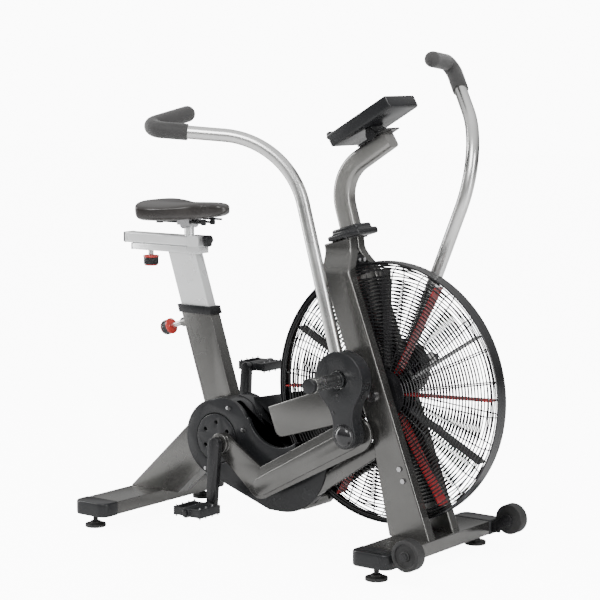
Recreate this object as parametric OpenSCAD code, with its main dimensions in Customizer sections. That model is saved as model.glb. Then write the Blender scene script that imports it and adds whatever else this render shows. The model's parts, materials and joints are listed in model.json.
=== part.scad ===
// Air bike: a fan-braked exercise bike with swinging arms, in millimetres.
// +X points forward, +Y to the rider's left, +Z up, and the feet stand on z = 0.

/* [Fan and crank] */
// Radius of the fan cage
cage_r = 343; // [335:1:350]
// Height of the fan axle above the floor
fan_z = 430; // [425:1:440]
// Distance from the crank axle forward to the fan axle
crank_back = 534; // [530:1:540]
// Height of the crank axle above the floor
crank_z = 256; // [252:1:260]
// Throw of the eccentric pin that drives each link
pin_throw = 52; // [48:1:54]
// Length of each crank arm, from pin to pedal
crank_len = 171; // [165:1:172]
// How far the crank arms lean from the vertical, in degrees
crank_lean = 4; // [0:1:8]

/* [Arms] */
// Height of the arm pivots
pivot_z = 478; // [474:1:482]
// Distance of the arm pivots behind the fan axle
pivot_back = 50; // [46:1:54]
// Distance of each arm tube from the middle plane
arm_y = 140; // [138:1:142]
// Diameter of the arm tube
arm_d = 35; // [32:0.5:36]
// Swing of each arm between its limits, in degrees
arm_swing = 38; // [30:1:38]
// Length of the straight lower part of an arm
arm_straight = 460; // [450:1:465]
// Bend radius of an arm
arm_bend_r = 229; // [220:1:235]

/* [Seat] */
// Backward tilt of the seat tube, in degrees
seat_tilt = 18.1; // [17:0.1:19]
// Height of the underside of the seat rail
rail_z = 757; // [750:1:765]
// Width of the saddle
saddle_w = 236; // [220:1:250]
// Length of the saddle
saddle_len = 284; // [270:1:290]

/* [Frame] */
// Length of the front and rear stabilizers
stab_len = 540; // [500:1:560]
// Thickness of a front leg, side to side
leg_t = 34; // [30:1:36]
// Gap between the front legs
leg_gap = 82; // [80:1:84]
// Wall of the frame tubes
wall = 3; // [2:0.5:4]

/* [Hidden] */
$fn = 48;
fan_x = 277.5;                       // fan axle ahead of the middle of the bike
crank_x = -crank_back;
leg_in = leg_gap / 2;
leg_out = leg_in + leg_t;
stab_z0 = 38;
stab_z1 = 74;
leg_slope = 0.377;
belt_y0 = 32.8;
belt_y1 = 40.8;
crank_pulley_r = 80;
fan_pulley_r = 24;
belt_t = 3;
cover_y = 58;
disc_r = 68;
link_y0 = 84;
link_y1 = 112;
lever_pin = [-30, 335];
lever_y0 = 130;
lever_y1 = 146;
arm_cover_y0 = 116;
arm_cover_y1 = 160;
crank_arm_y0 = 118;
crank_arm_y1 = 136;
pedal_y0 = 142;
pedal_y1 = 240;
pivot = [-pivot_back, pivot_z];
pedal_off = [-crank_len * sin(crank_lean), -crank_len * cos(crank_lean)];
near_pin = [crank_x + pin_throw, crank_z];
far_pin = [crank_x - pin_throw, crank_z];
seat_root = [-527, crank_z];
seat_top = 400;                      // reach of the seat tube above the crank, before its level cut
tube_top = crank_z + 348;            // height of that level cut
post_x = 46.5;
post_y = 16;
pin_up = 342;                        // the height knob's place along the seat tube
mast_start = [-121, 850];
mast_lean = 16.7;
mast_r = 110;
mast_rise = 32;
console_tilt = 30;
console_at = [-157, 1094];

// ---- helpers ---------------------------------------------------------------

// Everything is drawn from the fan axle and then moved so that x = 0 is the middle.
module place() translate([fan_x, 0, 0]) children();

// A shape and its mirror image on the other side of the bike.
module both() {
    children();
    mirror([0, 1, 0]) children();
}

// Put a left-hand shape on the right-hand side.
module right() mirror([0, 1, 0]) children();

// A block from ranges in x, y and z.
module block(x, y, z) translate([x[0], y[0], z[0]])
    cube([x[1] - x[0], y[1] - y[0], z[1] - z[0]]);

// A side profile, drawn in x and z, made solid from y0 to y1.
module slab(y0, y1) translate([0, y1, 0]) rotate([90, 0, 0])
    linear_extrude(y1 - y0) children();

// Round bars along y, x and z.
module bar_y(r, y0, y1, at) translate([at[0], y1, at[1]]) rotate([90, 0, 0])
    cylinder(h = y1 - y0, r = r);
module bar_x(r, x0, x1, y, z) translate([x0, y, z]) rotate([0, 90, 0])
    cylinder(h = x1 - x0, r = r);
module bar_z(r, x, y, z0, z1) translate([x, y, z0]) cylinder(h = z1 - z0, r = r);

// Outline of a strip of half width h along a path.
function unit2(v) = v / norm(v);
function left_of(v) = [-v[1], v[0]];
function side_at(p, i) = unit2(left_of(p[min(i + 1, len(p) - 1)] - p[max(i - 1, 0)]));
function strip(p, h) = concat(
    [for (i = [0:len(p) - 1]) p[i] + h * side_at(p, i)],
    [for (i = [len(p) - 1:-1:0]) p[i] - h * side_at(p, i)]);

// Points along an arc, from angle t0 to t1.
function arc(c, r, t0, t1, n) = [for (i = [0:n]) c + r * [cos(t0 + (t1 - t0) * i / n),
    sin(t0 + (t1 - t0) * i / n)]];

// Two round ends joined by straight sides.
function heading(v) = atan2(v[1], v[0]);
function side_turn(a, ra, b, rb) = acos((ra - rb) / norm(b - a));
module stadium(a, ra, b, rb) {
    dir = heading(b - a);
    side = side_turn(a, ra, b, rb);
    polygon(concat(arc(b, rb, dir + side, dir - side, 20),
        arc(a, ra, dir - side, dir + side - 360, 20)));
}

// The seat tube's own axes: x across the tube, z up along it.
module seat_axes() translate([seat_root[0], 0, seat_root[1]])
    rotate([0, -seat_tilt, 0]) children();

// ---- frame -----------------------------------------------------------------

cross_tube = [-238, 120];
beam_path = [[-522, 212], [-492, 184], [-446, 150], [-395, 127], [-330, 114], [-238, 120]];
rail_path = [[-238, 122], [-200, 158], [40, 318]];

// Side profile of a front leg: tilted back, and wider at the foot.
function leg_front(z) = 176 - leg_slope * (z - stab_z1);
module leg_profile(in) {
    top = 806;
    polygon([[leg_front(stab_z1) - in, stab_z1], [leg_front(top + 26) - in, top + 26],
        [leg_front(top + 26) - 86 + in, top], [leg_front(315) - 86 + in, 315],
        [leg_front(stab_z1) - 124 + in, stab_z1]]);
}

module main_beam() place() color("dimgray") {
    difference() {
        union() {
            slab(-28, 28) polygon(strip(beam_path, 25));
            bar_y(30, -34, 34, [crank_x, crank_z]);
            bar_y(24, -leg_out + 20, leg_out - 20, cross_tube);
            both() slab(35, leg_out - 20) difference() {
                polygon(strip(rail_path, 20));
                leg_profile(0);
                polygon([[20, 200], [120, 200], [120, 400], [-60, 400], [-8, 335]]);
            }
        }
        seat_axes() block([-50, 50], [-20, 20], [-50, seat_top]);
        bar_y(22, -40, 40, [crank_x, crank_z]);
    }
}

// Side profile of the strut from the rear stabilizer up to the seat tube.
strut_low = [-709, 69];
strut_dir = [cos(43), sin(43)];
strut_side = 120 * left_of(strut_dir);
module strut_profile(in) difference() {
    polygon([strut_low + in * left_of(strut_dir) - 40 * strut_dir,
        strut_low + in * left_of(strut_dir) + 260 * strut_dir,
        strut_low + strut_side - in * left_of(strut_dir) + 260 * strut_dir,
        strut_low + strut_side - in * left_of(strut_dir) - 200 * strut_dir]);
    translate([-1000, -100]) square([500, 100 + stab_z1 + 0.01 + in]);
}

module rear_strut() place() color("gray") difference() {
    slab(-25, 25) strut_profile(0);
    slab(-25 + wall, 25 - wall) strut_profile(wall);
    seat_axes() block([-50, 300], [-60, 60], [-200, seat_top]);
    bar_y(30, -60, 60, [crank_x, crank_z]);
}

module seat_tube() place() color("dimgray") {
    difference() {
        seat_axes() difference() {
            union() {
                block([-50, 50], [-20, 20], [-50, seat_top]);
                translate([-50, 0, pin_up]) rotate([0, -90, 0]) cylinder(h = 22, r = 13);
            }
            block([-47, 47], [-17, 17], [40, seat_top + 1]);
            bar_x(5.06, -80, -40, 0, pin_up);
        }
        bar_y(30, -60, 60, [crank_x, crank_z]);
        block([-800, -500], [-60, 60], [tube_top, tube_top + 60]);
    }
}

// Front profile of a leg: it leans in to the middle at its top.
lean_z0 = 735;
lean_z1 = 805;
function lean(t) = (1 - cos(180 * t)) / 2;
function leg_edge(y, a, b) = [for (i = [0:8]) [y - (leg_in - 1) * lean(i / 8), a + (b - a) * i / 8]];
module leg_front_profile(in) polygon(concat(
    [[leg_out - in, 40]], leg_edge(leg_out - in, lean_z0 + 30, lean_z1 + 20),
    [[leg_t + 1 - in, 860], [1 + in, 860]],
    [for (i = [8:-1:0]) leg_edge(leg_in + in, lean_z0, lean_z1)[i]],
    [[leg_in + in, 40]]));

module front_legs() place() color("dimgray") both() difference() {
    intersection() {
        slab(0, 100) leg_profile(0);
        translate([-400, 0, 0]) rotate([90, 0, 90]) linear_extrude(800) leg_front_profile(0);
    }
    intersection() {
        slab(0, 100) leg_profile(wall);
        translate([-400, 0, 0]) rotate([90, 0, 90]) linear_extrude(800) leg_front_profile(wall);
    }
    bar_y(8, 0, 100, [0, fan_z]);
    bar_y(12, 0, 100, pivot);
}

// Wedge that ties the legs together just under their heads.
module head_bracket() place() color("black") translate([-106, 0, 0]) rotate([90, 0, 90])
    linear_extrude(14) polygon([[-26.5, 762], [26.5, 762], [7, 786], [-7, 786]]);

// ---- stabilizers, feet and wheels --------------------------------------------

stab_f = [124, 57];                  // middle of the front one and its half depth
stab_r = [-820, 56];                 // the same for the rear one
cap_len = 60;

module stabilizer(at) {
    body = stab_len / 2 - cap_len;
    difference() {
        block([at[0] - at[1], at[0] + at[1]], [-body, body], [stab_z0, stab_z1]);
        block([at[0] - at[1] + wall, at[0] + at[1] - wall], [-body - 1, body + 1],
            [stab_z0 + wall, stab_z1 - wall]);
    }
}
module front_stabilizer() place() color("dimgray") stabilizer(stab_f);
module rear_stabilizer() place() color("dimgray") stabilizer(stab_r);

// Moulded end caps with rounded corners, seen from above.
module end_cap(at) {
    r = 26;
    body = stab_len / 2 - cap_len;
    difference() {
        translate([0, 0, stab_z0 - 2]) linear_extrude(stab_z1 - stab_z0 + 4) difference() {
            union() {
                translate([at[0] - at[1] - 2, body]) square([2 * at[1] + 4, cap_len - r]);
                translate([at[0] - at[1] - 2 + r, body]) square([2 * at[1] + 4 - 2 * r, cap_len]);
                for (s = [-1, 1]) translate([at[0] + s * (at[1] + 2 - r), stab_len / 2 - r]) circle(r);
            }
        }
        block([at[0] - at[1] + 6, at[0] + at[1] - 6], [body - 1, body + 12], [stab_z0 + 6, stab_z1 - 6]);
    }
}
module end_caps() place() color("black") both() {
    end_cap(stab_f);
    end_cap(stab_r);
}

module foot(x, y) {
    bar_z(29, x, y, 0, 9);
    bar_z(14, x, y, 9, 16);
    bar_z(7, x, y, 16, stab_z0 - 2);
}
module levelling_feet() place() color("black") both() {
    foot(stab_f[0], 232);
    foot(stab_r[0] - 8, 232);
}

wheel_at = [228, 81];
module wheel_brackets() place() color("dimgray") both() {
    difference() {
        slab(218, 226) union() {
            stadium(wheel_at, 16, [200, 64], 16);
            translate([stab_f[0] + stab_f[1] + 2, 44]) square([24, 30]);
        }
        bar_y(6, 200, 240, wheel_at);
    }
    bar_y(6, 218, 266, wheel_at);
    bar_y(10, 264.5, 268, wheel_at);
}

module transport_wheel() difference() {
    union() {
        bar_y(40, 229, 262, wheel_at);
        bar_y(13, 227.2, 264, wheel_at);
    }
    bar_y(6.08, 220, 270, wheel_at);
    bar_y(30, 256, 263, wheel_at);
}
module wheel_left() place() color("black") union() {
    transport_wheel();
    difference() {
        bar_y(13, 250, 264, wheel_at);
        bar_y(6.08, 220, 270, wheel_at);
    }
}
module wheel_right() right() wheel_left();

// ---- covers and belt ---------------------------------------------------------

// Side outline of the swooping cover around the crank and along the lower beam.
module swoosh(in) {
    crank = [crank_x, crank_z];
    difference() {
        union() {
            translate(crank) circle(108 - in);
            translate([-508, 284]) circle(88 - in);
            translate([-310, 230]) circle(150 - in);
            polygon([crank + (108 - in) * [-0.29, -0.957], [-352, 230] + (150 - in) * [0, -1],
                [-310, 230] + (150 - in) * [0, -1], [-300, 260], [-470, 330]]);
        }
        translate([-325, 357]) circle(103 + in);
        polygon([[-262, 264 - in], [-252 - in, 196], [-100, 270], [-100, 420], [-262, 420]]);
    }
}

module crank_cover_left() place() color("black") difference() {
    slab(1, cover_y) swoosh(0);
    slab(0, cover_y - 3) swoosh(3);
    bar_y(disc_r + 2, 40, 70, [crank_x, crank_z]);
    seat_axes() block([-50, 50], [-1, 20], [-60, 200]);
    slab(-1, 25) polygon([[-900, 0], [-600, 140], [-500, 256], [-600, 420], [-900, 300]]);
    bar_y(24, -1, leg_out - 20, cross_tube);
    slab(31, leg_out - 20) polygon(strip(rail_path, 20.5));
    slab(-1, 28) polygon(strip(beam_path, 25));
    slab(-1, 31) translate([-222, 90]) square([90, 220]);
    bar_y(cage_r + 3, -1, 31, [0, fan_z]);
    slab(28, 46) stadium([crank_x, crank_z], 92, [0, fan_z], 34);
}
module crank_cover_right() right() crank_cover_left();

// Inner guard on the left of the frame, closed round the belt.
module belt_guard() place() color("black") difference() {
    slab(28, 46) stadium([crank_x, crank_z], 92, [0, fan_z], 34);
    slab(31.6, 44.4) stadium([crank_x, crank_z], 90, [0, fan_z], 32);
    bar_y(58, 20, 32, [crank_x, crank_z]);
    bar_y(86, 40, 60, [crank_x, crank_z]);
    bar_y(cage_r + 3, 20, 30.4, [0, fan_z]);
    slab(20, 60) polygon([[-105, 300], [100, 300], [100, 600], [-160, 600]]);
}

// Metal-coloured cover over the belt run, ahead of the swooping cover.
module upper_profile(in) polygon(concat(arc([-316, 306], 23 - in, 200.5, 286.3, 6),
    [[-118, 341] + in * [-0.8, 1.2], [-150, 424] + in * [-0.8, -1],
    [-206, 417] + in * [0, -1.1], [-361, 361] + in * [1.2, -1]]));
module upper_cover() place() color("gray") {
    difference() {
        slab(-50, 28) upper_profile(0);
        slab(-47, 29) upper_profile(3);
        bar_y(cage_r + 4, -33, 33, [0, fan_z]);
    }
    slab(46, 50) upper_profile(0);
}

module drive_belt() place() color("black") difference() {
    slab(belt_y0 + 0.4, belt_y1 - 0.4) stadium([crank_x, crank_z], crank_pulley_r + belt_t + 0.5,
        [0, fan_z], fan_pulley_r + belt_t + 0.5);
    slab(belt_y0 - 1, belt_y1 + 1) stadium([crank_x, crank_z], crank_pulley_r + 0.5,
        [0, fan_z], fan_pulley_r + 0.5);
}

// ---- crank -------------------------------------------------------------------

module crank_bearings() place() color("silver") both() difference() {
    bar_y(21.98, 20, 34, [crank_x, crank_z]);
    bar_y(12.05, 10, 40, [crank_x, crank_z]);
}

module crank_spindle() place() color("silver")
    bar_y(12, -49, 49, [crank_x, crank_z]);

module crank_pulley() place() color("black") difference() {
    union() {
        bar_y(crank_pulley_r, belt_y0 + 1.4, belt_y1, [crank_x, crank_z]);
        bar_y(18, belt_y0 + 1.4, 48, [crank_x, crank_z]);
    }
    bar_y(12, 20, 60, [crank_x, crank_z]);
    for (a = [0:60:300])
        bar_y(14, 20, 60, [crank_x, crank_z] + 50 * [cos(a), sin(a)]);
}

// Round crank discs in the covers, each with a ring of holes.
module crank_discs() place() color("black") both() difference() {
    bar_y(disc_r, 49, 60, [crank_x, crank_z]);
    for (a = [30:60:330])
        bar_y(5.5, 40, 70, [crank_x, crank_z] + 44 * [cos(a), sin(a)]);
    bar_y(11, 54, 61, [crank_x, crank_z]);
}

// An eccentric pin with its hanging crank arm and the pedal's axle.
module crank_arm(pin, off) {
    bar_y(11, 60, crank_arm_y0, pin);
    bar_y(20, 60, link_y0 - 1, pin);
    slab(crank_arm_y0, crank_arm_y1) stadium(pin, 19, pin + off, 15);
    bar_y(6, crank_arm_y1, pedal_y1 + 2, pin + off);
    bar_y(9, pedal_y1 + 2, pedal_y1 + 5, pin + off);
}
module crank_arms() place() color("black") {
    right() crank_arm(near_pin, pedal_off);
    crank_arm(far_pin, -pedal_off);
}

module pedal(at) difference() {
    union() {
        bar_y(14, pedal_y0, pedal_y1, at);
        block([at[0] - 42, at[0] + 42], [pedal_y0 + 6, pedal_y0 + 14], [at[1] - 11, at[1] + 11]);
        block([at[0] - 42, at[0] + 42], [pedal_y1 - 14, pedal_y1 - 6], [at[1] - 11, at[1] + 11]);
        for (s = [-1, 1])
            block([at[0] + s * 42 - 5, at[0] + s * 42 + 5], [pedal_y0 + 6, pedal_y1 - 6],
                [at[1] - 12, at[1] + 12]);
        for (s = [-1, 1])
            block([at[0] + s * 22 - 3, at[0] + s * 22 + 3], [pedal_y0 + 6, pedal_y1 - 6],
                [at[1] - 9, at[1] + 9]);
    }
    bar_y(6.06, pedal_y0 - 5, pedal_y1 + 5, at);
}
module pedal_right() place() color("black") right() pedal(near_pin + pedal_off);
module pedal_left() place() color("black") pedal(far_pin - pedal_off);

// ---- links -------------------------------------------------------------------

// Boomerang link from a crank pin forward to the foot of an arm.
module link(shift) {
    rear = near_pin;
    low = [-350, 158];
    front = lever_pin + [-3, -6];
    translate([shift, 0, 0]) difference() {
        union() {
            slab(link_y0 + 6, link_y0 + 16) {
                stadium(rear, 27, low, 40);
                stadium(low, 40, front, 46);
            }
            slab(link_y0 + 16, link_y1 - 4) stadium(low + [8, -4], 24, front + [-18, -14], 26);
            bar_y(27, link_y0, link_y1, rear);
        }
        bar_y(11.06, link_y0 - 5, link_y1 + 5, rear);
        bar_y(16, link_y0 - 5, link_y1 + 5, lever_pin);
    }
}
module link_right() place() color("silver") right() link(0);
module link_left() place() color("silver") link(-2 * pin_throw);

// ---- fan ---------------------------------------------------------------------

module fan_axle() place() color("silver") {
    bar_y(8, -leg_out - 6, leg_out + 6, [0, fan_z]);
    both() difference() {
        bar_y(15, leg_out, leg_out + 8, [0, fan_z]);
        bar_y(8, 0, 200, [0, fan_z]);
    }
}

hub_hole = 17;
hub_plate_r = 62;
stand_r = 203;                       // ring of the grille that is held off the legs
leg_turn = 90 + atan(leg_slope);
grille_rings = [110, 156, stand_r, 248, 294];
grille_y0 = 27;
grille_y1 = 30;
module fan_cage_left() place() color("black") {
    difference() {
        bar_y(cage_r - 2, grille_y0, grille_y1, [0, fan_z]);
        slab(grille_y0 - 1, grille_y1 + 1) translate([0, fan_z]) difference() {
            circle(cage_r - 8);
            for (r = grille_rings)
                difference() {
                    circle(r + 4);
                    circle(r - 4);
                }
            for (a = [leg_turn:30:leg_turn + 150])
                rotate(a) square([2 * cage_r, 5], center = true);
            circle(hub_plate_r);
        }
        bar_y(hub_hole, 0, 60, [0, fan_z]);
    }
    difference() {
        bar_y(cage_r, 0, grille_y0, [0, fan_z]);
        bar_y(cage_r - 8, -1, grille_y1, [0, fan_z]);
    }
    for (s = [-1, 1])
        bar_y(9, grille_y1, leg_in, [0, fan_z] + s * stand_r * [cos(leg_turn), sin(leg_turn)]);
}
module fan_cage_right() right() fan_cage_left();

module fan_hub() place() color("black") difference() {
    bar_y(34, -22, 22, [0, fan_z]);
    bar_y(16, -23, 23, [0, fan_z]);
}

module fan_bearings() place() color("silver") both() difference() {
    bar_y(16, 12, 22, [0, fan_z]);
    bar_y(8.05, 0, 30, [0, fan_z]);
}

module fan_pulley() place() color("black") difference() {
    union() {
        bar_y(fan_pulley_r, belt_y0, belt_y1 - 1.2, [0, fan_z]);
        bar_y(14, 22, belt_y0, [0, fan_z]);
    }
    bar_y(8.08, 0, 60, [0, fan_z]);
}

// One blade: a flat paddle in a radial plane.
blade_tip = cage_r - 20;
module blade(a) translate([0, 0, fan_z]) rotate([0, a, 0])
    block([28, blade_tip], [-20, 20], [-1.5, 1.5]);
module blade_ring(first) difference() {
    for (a = [first:60:first + 300]) blade(a);
    bar_y(34, -30, 30, [0, fan_z]);
}
module fan_blades() place() color("dimgray") {
    blade_ring(28);
    difference() {
        bar_y(60, -1.5, 1.5, [0, fan_z]);
        bar_y(34, -30, 30, [0, fan_z]);
        for (a = [-2:60:298]) blade(a);
    }
}
module fan_red_blades() place() color("firebrick") blade_ring(-2);

// ---- arms --------------------------------------------------------------------

arm_tilt = 105.6;                    // direction of the straight tube in the side plane
splay = 33.6;                        // how far the upper tube leans outward
top_dir = 174.4;                     // direction of the upper tube in the side plane
u1 = [cos(arm_tilt), 0, sin(arm_tilt)];
u2 = [cos(top_dir) * cos(splay), sin(splay), sin(top_dir) * cos(splay)];
bend = acos(u1 * u2);
across = (u2 - (u2 * u1) * u1) / norm(u2 - (u2 * u1) * u1);
third = cross(u1, across);
leg_v = [-1.3, -147.5, 39.1];        // from the elbow to the inner end of the grip
elbow_up = 180;                      // from the end of the bend to the elbow

// The arm's own axes: z along the straight tube, x towards the bend.
module arm_axes() multmatrix([[across[0], third[0], u1[0], pivot[0]],
    [across[1], third[1], u1[1], arm_y],
    [across[2], third[2], u1[2], pivot[1]]]) children();

// Stand at the end of the bend, with z along the upper tube.
module arm_top() arm_axes() translate([arm_bend_r, 0, arm_straight])
    rotate([0, bend, 0]) translate([-arm_bend_r, 0, 0]) children();

module arm_run(r, low, high) {
    arm_axes() translate([0, 0, low]) cylinder(h = arm_straight - low, r = r);
    arm_axes() translate([arm_bend_r, 0, arm_straight]) rotate([90, 0, 0])
        rotate([0, 0, 180 - bend]) rotate_extrude(angle = bend)
            translate([arm_bend_r, 0]) circle(r);
    arm_top() cylinder(h = high, r = r);
    // Thin weld bands where the bend meets the straight tubes.
    arm_axes() translate([0, 0, arm_straight - 2]) cylinder(h = 4, r = r + 0.3);
    arm_top() translate([0, 0, -2]) cylinder(h = 4, r = r + 0.3);
}

module arm_left_at_back() difference() {
    union() {
        difference() {
            arm_run(arm_d / 2, 20, 120);
            arm_run(arm_d / 2 - 2.5, 40, 121);
        }
        bar_y(30, lever_y0 - 4, 154, pivot);
        slab(lever_y0, lever_y1) stadium(pivot, 24, lever_pin, 18);
        bar_y(11, lever_y0 - 6, lever_y1 + 8, lever_pin);
    }
    bar_y(12.06, 100, 180, pivot);
}
// Turn an arm by the whole swing, from its back limit to its forward limit.
module swung() translate([pivot[0], 0, pivot[1]]) rotate([0, arm_swing, 0])
    translate([-pivot[0], 0, -pivot[1]]) children();

module arm_right() place() color("silver") right() arm_left_at_back();
module arm_left() place() color("silver") swung() arm_left_at_back();

// Foam grip: a sleeve on the tube, an elbow and an inward handle.
function in_top(v) = [v * (cos(bend) * across - sin(bend) * u1), v * third, v * u2];
module grip_rod(r, low, high) {
    translate([0, 0, low]) cylinder(h = high - low, r = r);
    translate([0, 0, high]) cylinder(h = 5, r1 = r, r2 = r - 5);
}
module grip_at_back() {
    v = in_top(leg_v);
    difference() {
        arm_top() grip_rod(21.5, 95, elbow_up + 12);
        arm_top() translate([0, 0, 90]) cylinder(h = 31, r = arm_d / 2 + 0.04);
    }
    arm_top() translate([0, 0, elbow_up]) rotate([0, 0, heading([v[0], v[1]])])
        rotate([0, acos(v[2] / norm(v)), 0]) grip_rod(21, -12, norm(v) + 10);
}
module grip_right() place() color("black") right() grip_at_back();
module grip_left() place() color("black") swung() grip_at_back();

// Teardrop cover round the hub and lever of an arm, open towards the frame.
// Two round ends joined by hollowed flanks of radius w.
module waisted(a, ra, b, rb, w) {
    d = norm(b - a);
    x = (d * d + (ra + w) * (ra + w) - (rb + w) * (rb + w)) / (2 * d);
    h = sqrt((ra + w) * (ra + w) - x * x);
    p = atan2(h, x);
    q = atan2(h, x - d);
    translate(a) rotate(atan2(b[1] - a[1], b[0] - a[0]))
        polygon(concat(arc([0, 0], ra, p, 360 - p, 40), arc([x, -h], w, 180 - p, 180 - q, 8),
            arc([d, 0], rb, -q, q, 20), arc([x, h], w, 180 + q, 180 + p, 8)));
}
module arm_cover_at_back() difference() {
    slab(arm_cover_y0, arm_cover_y1) waisted(pivot + [2, -1], 74, lever_pin, 35, 90);
    slab(arm_cover_y0 - 1, arm_cover_y1 - 3) waisted(pivot + [2, -1], 71, lever_pin, 32, 93);
    bar_y(24, 100, 180, pivot);
    arm_axes() translate([0, 0, 10]) cylinder(h = 120, r = arm_d / 2 + 0.5);
}
module arm_cover_right() place() color("black") right() arm_cover_at_back();
module arm_cover_left() place() color("black") swung() arm_cover_at_back();

// Pivot shafts with the foot pegs on their outer ends.
module foot_pegs() place() color("silver") both() {
    bar_y(12, leg_in, 168, pivot);
    difference() {
        bar_y(30, leg_out, arm_cover_y0 - 2, pivot);
        bar_y(12, 0, 200, pivot);
    }
    bar_y(18, 168, 268, pivot);
    bar_y(19, 268, 284, pivot);
}

// ---- seat --------------------------------------------------------------------

module seat_collar() place() color("black") difference() {
    intersection() {
        seat_axes() block([-55, 55], [-25, 25], [300, 440]);
        block([-800, -500], [-60, 60], [tube_top - 13, tube_top + 9]);
    }
    intersection() {
        seat_axes() block([-50, 50], [-20, 20], [280, 450]);
        block([-800, -500], [-60, 60], [tube_top - 20, tube_top]);
    }
    seat_axes() block([-post_x - 0.3, post_x + 0.3], [-post_y - 0.3, post_y + 0.3], [280, 450]);
}

module seat_post() place() color("whitesmoke") difference() {
    seat_axes() difference() {
        block([-post_x, post_x], [-post_y, post_y], [170, 560]);
        block([-37, post_x - wall], [-post_y + wall, post_y - wall], [169, 500]);
        block([-post_x - 1, -post_x + 4.5], [-7, 7], [169, 561]);
        for (z = [pin_up - 125:25:pin_up + 125]) bar_x(5.6, -post_x - 1, -30, 0, z);
    }
    block([-900, -500], [-100, 100], [rail_z, 900]);
}

rail_x = [-870, -624];
rail_top = rail_z + 17.7;
module seat_rail() place() color("whitesmoke") difference() {
    block(rail_x, [-22, 22], [rail_z, rail_top]);
    block([rail_x[0] + 12, rail_x[1] - 12], [-9, 9], [rail_z + 6, rail_z + 18]);
    bar_z(5.06, -818, 0, rail_z - 1, rail_z + 18);
}

// A cup-shaped pull knob on a plunger, pointing along -z from its boss.
module pull_knob(shaft, tip) {
    translate([0, 0, -shaft]) cylinder(h = shaft + tip, r = 5);
    translate([0, 0, -shaft - 5]) cylinder(h = 5, r = 22.5);
    translate([0, 0, -shaft - 29]) cylinder(h = 24, r1 = 18.5, r2 = 21.5);
}
module height_knob() place() color("firebrick") seat_axes()
    translate([-72, 0, pin_up]) rotate([0, 90, 0]) pull_knob(46, 72 - post_x + 4.2);
module rail_knob() place() color("firebrick")
    translate([-818, 0, rail_z]) pull_knob(14, 16.6);

slider_x = [-896, -666];
slider_z = rail_z + 33;
module seat_slider() place() color("silver") {
    difference() {
        translate([slider_x[0], 0, slider_z]) rotate([90, 0, 90])
            linear_extrude(slider_x[1] - slider_x[0]) difference() {
                union() {
                    square([40, 18], center = true);
                    square([28, 30], center = true);
                    for (s = [-1, 1], t = [-1, 1]) translate([s * 14, t * 9]) circle(6);
                }
                square([34, 14], center = true);
            }
        for (x = [-868:25:-793]) bar_z(5.6, x, 0, slider_z - 20, slider_z - 5);
    }
    block([slider_x[0] - 4, slider_x[0]], [-20, 20], [slider_z - 15, slider_z + 15]);
    difference() {
        block([slider_x[1], slider_x[1] + 40], [-21, 21], [slider_z - 15, slider_z + 16]);
        bar_x(5.06, slider_x[1] + 20, slider_x[1] + 50, 0, slider_z + 3);
    }
    // Guide that runs in the rail's groove.
    block([-780, -692], [-8.7, 8.7], [rail_z + 7, slider_z - 14]);
    // Pillar with a cradle for the saddle clamp.
    difference() {
        bar_z(14, tilt_at[0], 0, slider_z + 15, tilt_at[1]);
        bar_y(13.06, -30, 30, tilt_at);
    }
}

module clamp_knob() place() color("black") {
    x0 = slider_x[1] + 40.3;
    bar_x(5, x0 - 18, x0 + 8, 0, slider_z + 3);
    difference() {
        bar_x(16.5, x0 + 8, x0 + 24, 0, slider_z + 3);
        for (a = [0:120:240])
            bar_x(8, x0 + 7, x0 + 25, 21 * sin(a), slider_z + 3 + 21 * cos(a));
    }
}

// Saddle clamp: a round body in the cradle, with cheeks that grip the saddle's rails.
tilt_at = [-676, slider_z + 48];
wire_z = tilt_at[1] + 5;
module saddle_clamp() place() color("silver") difference() {
    union() {
        bar_y(13, -26, 26, tilt_at);
        both() block([-698, -654], [15, 27], [tilt_at[1] - 3, tilt_at[1] + 13]);
    }
    both() bar_x(3.5, -758, -600, 21, wire_z);
}

// Moulded shell under the pad, with the two steel rails that it hangs from.
module saddle_base() place() color("black") {
    translate([0, 0, pad_z - 6]) linear_extrude(6) polygon(pad_outline(20));
    both() bar_x(3.5, -762, -606, 21, wire_z);
    both() block([-774, -758], [14, 28], [wire_z - 6, pad_z - 5]);
    both() block([-614, -602], [14, 25], [wire_z - 6, pad_z - 5]);
}

// Half width of the saddle at a share t of its length, from the rear.
saddle_back = -822;
pad_z = tilt_at[1] + 20;
pad_top = 903;
function round_end(u) = sqrt(1 - u * u);
function pad_half(t) = t < 0.22 ? saddle_w / 2 * (0.45 + 0.55 * round_end(1 - t / 0.22)) :
    (t > 0.94 ? 24 * round_end((t - 0.94) / 0.065) :
    24 + (saddle_w / 2 - 24) * (1 + cos(180 * min(1, (t - 0.22) / 0.5))) / 2);
function pad_edge(in) = [for (t = [0, 0.02, 0.06, 0.12, 0.2, 0.27, 0.34, 0.41, 0.48, 0.55, 0.62, 0.7,
    0.8, 0.9, 0.95, 0.98, 1]) [saddle_back + in + (saddle_len - 2 * in) * t, max(2, pad_half(t) - in)]];
function pad_outline(in) = concat(pad_edge(in),
    [for (i = [16:-1:0]) [pad_edge(in)[i][0], -pad_edge(in)[i][1]]]);
module saddle_pad() place() color("dimgray") {
    translate([0, 0, pad_z]) linear_extrude(pad_top - pad_z - 10) polygon(pad_outline(0));
    translate([0, 0, pad_top - 10]) linear_extrude(10) polygon(pad_outline(9));
}

// ---- mast and console --------------------------------------------------------

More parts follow.
